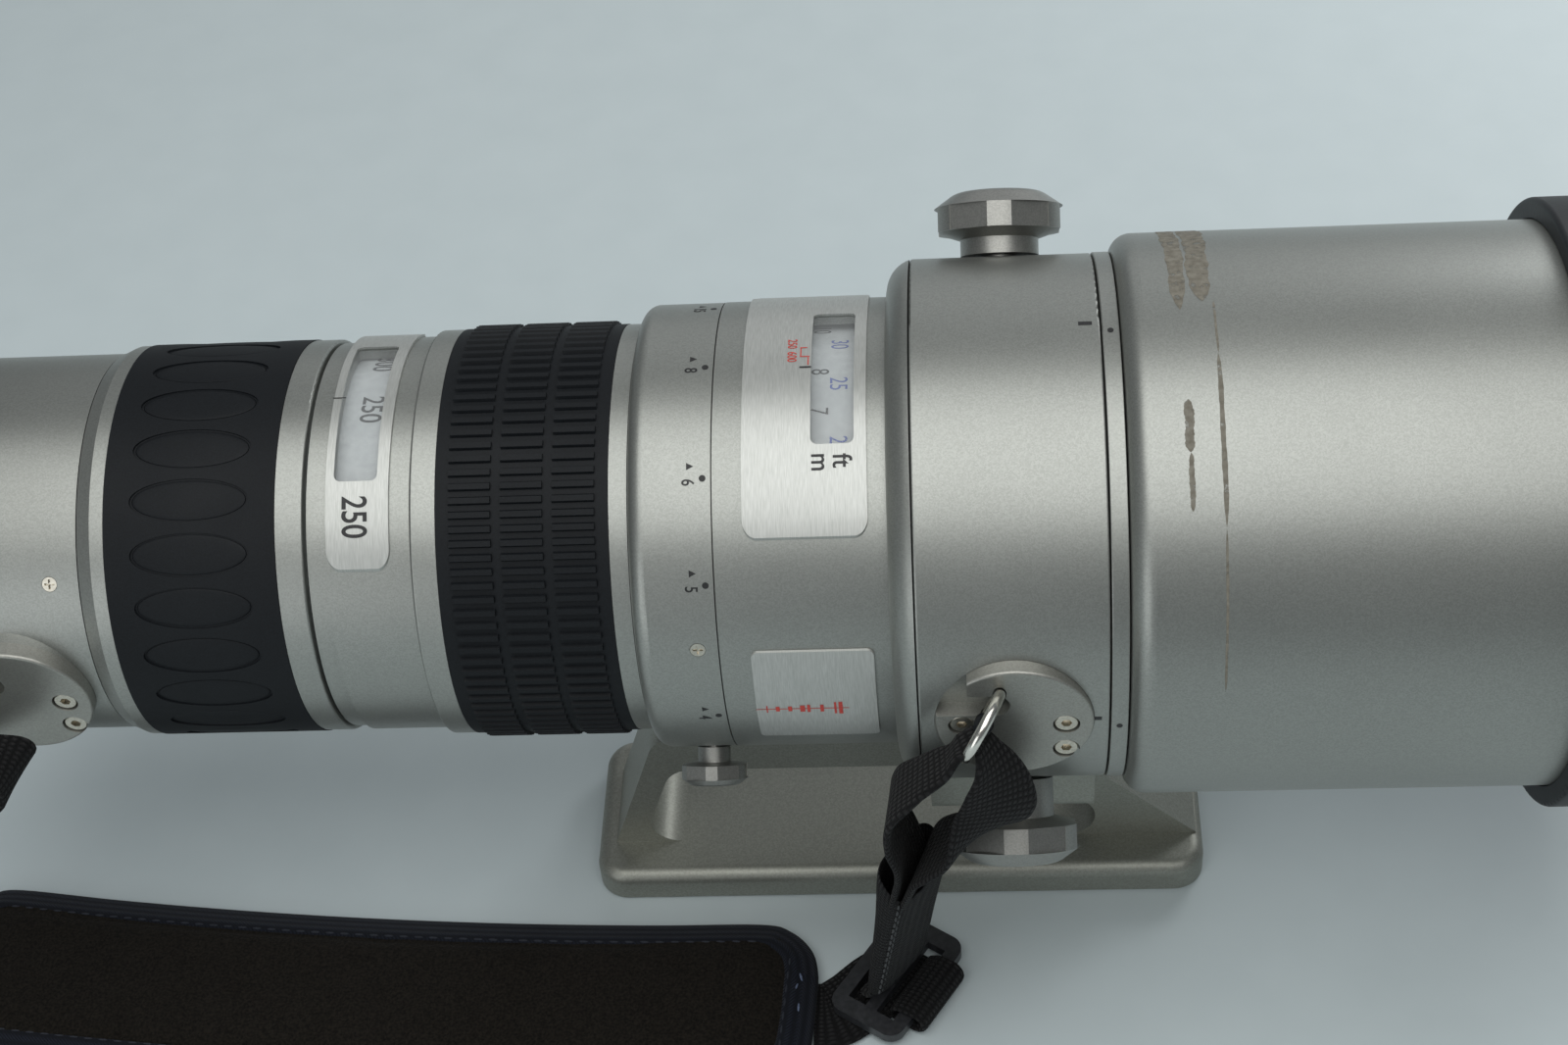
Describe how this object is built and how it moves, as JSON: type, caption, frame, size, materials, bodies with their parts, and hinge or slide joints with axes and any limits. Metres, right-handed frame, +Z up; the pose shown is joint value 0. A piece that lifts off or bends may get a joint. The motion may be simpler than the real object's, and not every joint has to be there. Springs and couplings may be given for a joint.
{
  "type": "camera zoom lens",
  "caption": "Long telephoto zoom lens with ribbed grips, turning tripod collar and handled foot, clamp knobs, padded shoulder strap and slip-on front cap",
  "frame": {"origin": "mouth of the large tripod thread, in the middle of the foot's sole", "axes": "+X along the optical axis to the subject, +Z up from the sole, +Y away from the strap's side; the optical axis lies 121 mm above the sole"},
  "size_m": [0.5114, 0.1566, 0.1915],
  "materials": {
    "champagne_paint": "satin metallic champagne enamel with fine speckle",
    "foot_metal": "satin warm grey enamel on cast alloy",
    "dark_screw": "black oxide socket screws",
    "bush_steel": "bare turned steel",
    "lug_metal": "satin champagne enamel",
    "nickel_screw": "bright nickel plate",
    "ring_nickel": "bright nickel plated wire",
    "black_plastic": "moulded black sleeve",
    "webbing": "woven black nylon webbing",
    "keeper_webbing": "woven black nylon sleeve, sewn over the webbing",
    "slider_plastic": "moulded black three-bar slider",
    "pad_velour": "short brown-black pile over foam",
    "binding_braid": "navy and black herringbone braid",
    "black_anodised": "matt black anodised",
    "name_plate": "brushed and lacquered plate",
    "clear_window": "clear acrylic",
    "mount_chrome": "satin chromed bayonet",
    "contact_brass": "gold plated pins",
    "coated_glass": "coated optical glass",
    "iris_steel": "blackened spring steel",
    "grip_rubber": "black moulded rubber sleeve",
    "scale_black": "pale enamelled scale drum with printed figures",
    "knob_metal": "satin champagne enamel",
    "cap_plastic": "black moulded slip-on cap with a fine grain",
    "aperture_black": "black enamel"
  },
  "bodies": {
    "tripod_mount": {"tripod_collar": "champagne_paint", "tripod_foot": "foot_metal", "foot_screws": "dark_screw", "foot_bushes": "bush_steel", "front_strap_lug": "lug_metal", "front_lug_screws": "nickel_screw", "front_strap_ring": "ring_nickel", "front_ring_guard": "black_plastic", "strap_web_front": "webbing", "strap_keeper": "keeper_webbing", "strap_slider": "slider_plastic", "strap_web_adjuster": "webbing", "strap_pad": "pad_velour", "pad_binding": "binding_braid", "strap_web_rear": "webbing"},
    "barrel": {"main_tube": "black_anodised", "rear_barrel": "champagne_paint", "mid_barrel": "champagne_paint", "window_housing": "champagne_paint", "collar_flange": "champagne_paint", "index_ring": "champagne_paint", "front_barrel": "champagne_paint", "zoom_plate": "name_plate", "zoom_window": "clear_window", "distance_plate": "name_plate", "distance_window": "clear_window", "side_plate": "name_plate", "barrel_screws": "nickel_screw", "rear_strap_lug": "lug_metal", "rear_lug_screws": "nickel_screw", "rear_strap_ring": "ring_nickel", "bayonet_mount": "mount_chrome", "mount_screws": "nickel_screw", "mount_contacts": "contact_brass", "rear_frame": "black_anodised", "rear_elements": "coated_glass", "iris_unit": "iris_steel", "front_cell": "black_anodised", "front_elements": "coated_glass"},
    "zoom_control": {"zoom_ring": "champagne_paint", "zoom_grip": "grip_rubber", "zoom_scale": "scale_black"},
    "focus_control": {"focus_ring": "champagne_paint", "focus_grip": "grip_rubber", "distance_scale": "scale_black"},
    "range_limiter": {"limiter_ring": "champagne_paint", "limiter_screws": "nickel_screw"},
    "limiter_clamp": {"limiter_knob": "knob_metal"},
    "collar_clamp_upper": {"collar_knob_upper": "knob_metal"},
    "collar_clamp_lower": {"collar_knob_lower": "knob_metal"},
    "cap": {"front_cap": "cap_plastic"},
    "drawer": {"filter_drawer": "black_anodised", "drawer_filter": "coated_glass"},
    "aperture_control": {"aperture_ring": "aperture_black"},
    "variator": {"variator_carriage": "black_anodised", "variator_elements": "coated_glass"},
    "compensator": {"compensator_carriage": "black_anodised", "compensator_elements": "coated_glass"},
    "focus_group": {"focus_carriage": "black_anodised", "focus_elements": "coated_glass"}
  },
  "joints": [
    {"name": "barrel_rotation", "type": "hinge", "parent": "tripod_mount", "child": "barrel", "pos_m": [0, 0, 0.121], "axis": [1, 0, 0], "range_deg": [-92.4, 87.6], "deforming": ["strap_web_rear"]},
    {"name": "zoom_turn", "type": "hinge", "parent": "barrel", "child": "zoom_control", "pos_m": [0, 0, 0.121], "axis": [1, 0, 0], "range_deg": [0, 72]},
    {"name": "focus_turn", "type": "hinge", "parent": "barrel", "child": "focus_control", "pos_m": [0, 0, 0.121], "axis": [1, 0, 0], "range_deg": [-110, 45]},
    {"name": "limiter_turn", "type": "hinge", "parent": "barrel", "child": "range_limiter", "pos_m": [0, 0, 0.121], "axis": [1, 0, 0], "range_deg": [-96, 60]},
    {"name": "limiter_clamp_turn", "type": "hinge", "parent": "range_limiter", "child": "limiter_clamp", "pos_m": [-0.04065, -0.04029, 0.08356], "axis": [0, -0.7325, -0.6807], "range_deg": [0, 540]},
    {"name": "upper_clamp_turn", "type": "hinge", "parent": "tripod_mount", "child": "collar_clamp_upper", "pos_m": [0.03025, 0.04761, 0.16525], "axis": [0, 0.7325, 0.6807], "range_deg": [0, 540]},
    {"name": "lower_clamp_turn", "type": "hinge", "parent": "tripod_mount", "child": "collar_clamp_lower", "pos_m": [0.03025, -0.04761, 0.07675], "axis": [0, -0.7325, -0.6807], "range_deg": [0, 540]},
    {"name": "aperture_turn", "type": "hinge", "parent": "barrel", "child": "aperture_control", "pos_m": [0, 0, 0.121], "axis": [1, 0, 0], "range_deg": [0, 60]},
    {"name": "cap_slide", "type": "slide", "parent": "barrel", "child": "cap", "axis": [1, 0, 0], "range_m": [0, 0.045]},
    {"name": "drawer_slide", "type": "slide", "parent": "barrel", "child": "drawer", "axis": [0, -0.0419, 0.9991], "range_m": [0, 0.075]},
    {"name": "variator_slide", "type": "slide", "parent": "barrel", "child": "variator", "axis": [1, 0, 0], "range_m": [0, 0.0282]},
    {"name": "compensator_slide", "type": "slide", "parent": "barrel", "child": "compensator", "axis": [1, 0, 0], "range_m": [-0.0082, 0]},
    {"name": "focus_group_slide", "type": "slide", "parent": "barrel", "child": "focus_group", "axis": [1, 0, 0], "range_m": [-0.0048, 0.0117]}
  ],
  "couplings": [
    {"joint": "variator_slide", "follows": "zoom_turn", "m_per_rad": 0.02228},
    {"joint": "compensator_slide", "follows": "zoom_turn", "m_per_rad": -0.006366},
    {"joint": "focus_group_slide", "follows": "focus_turn", "m_per_rad": -0.006}
  ]
}
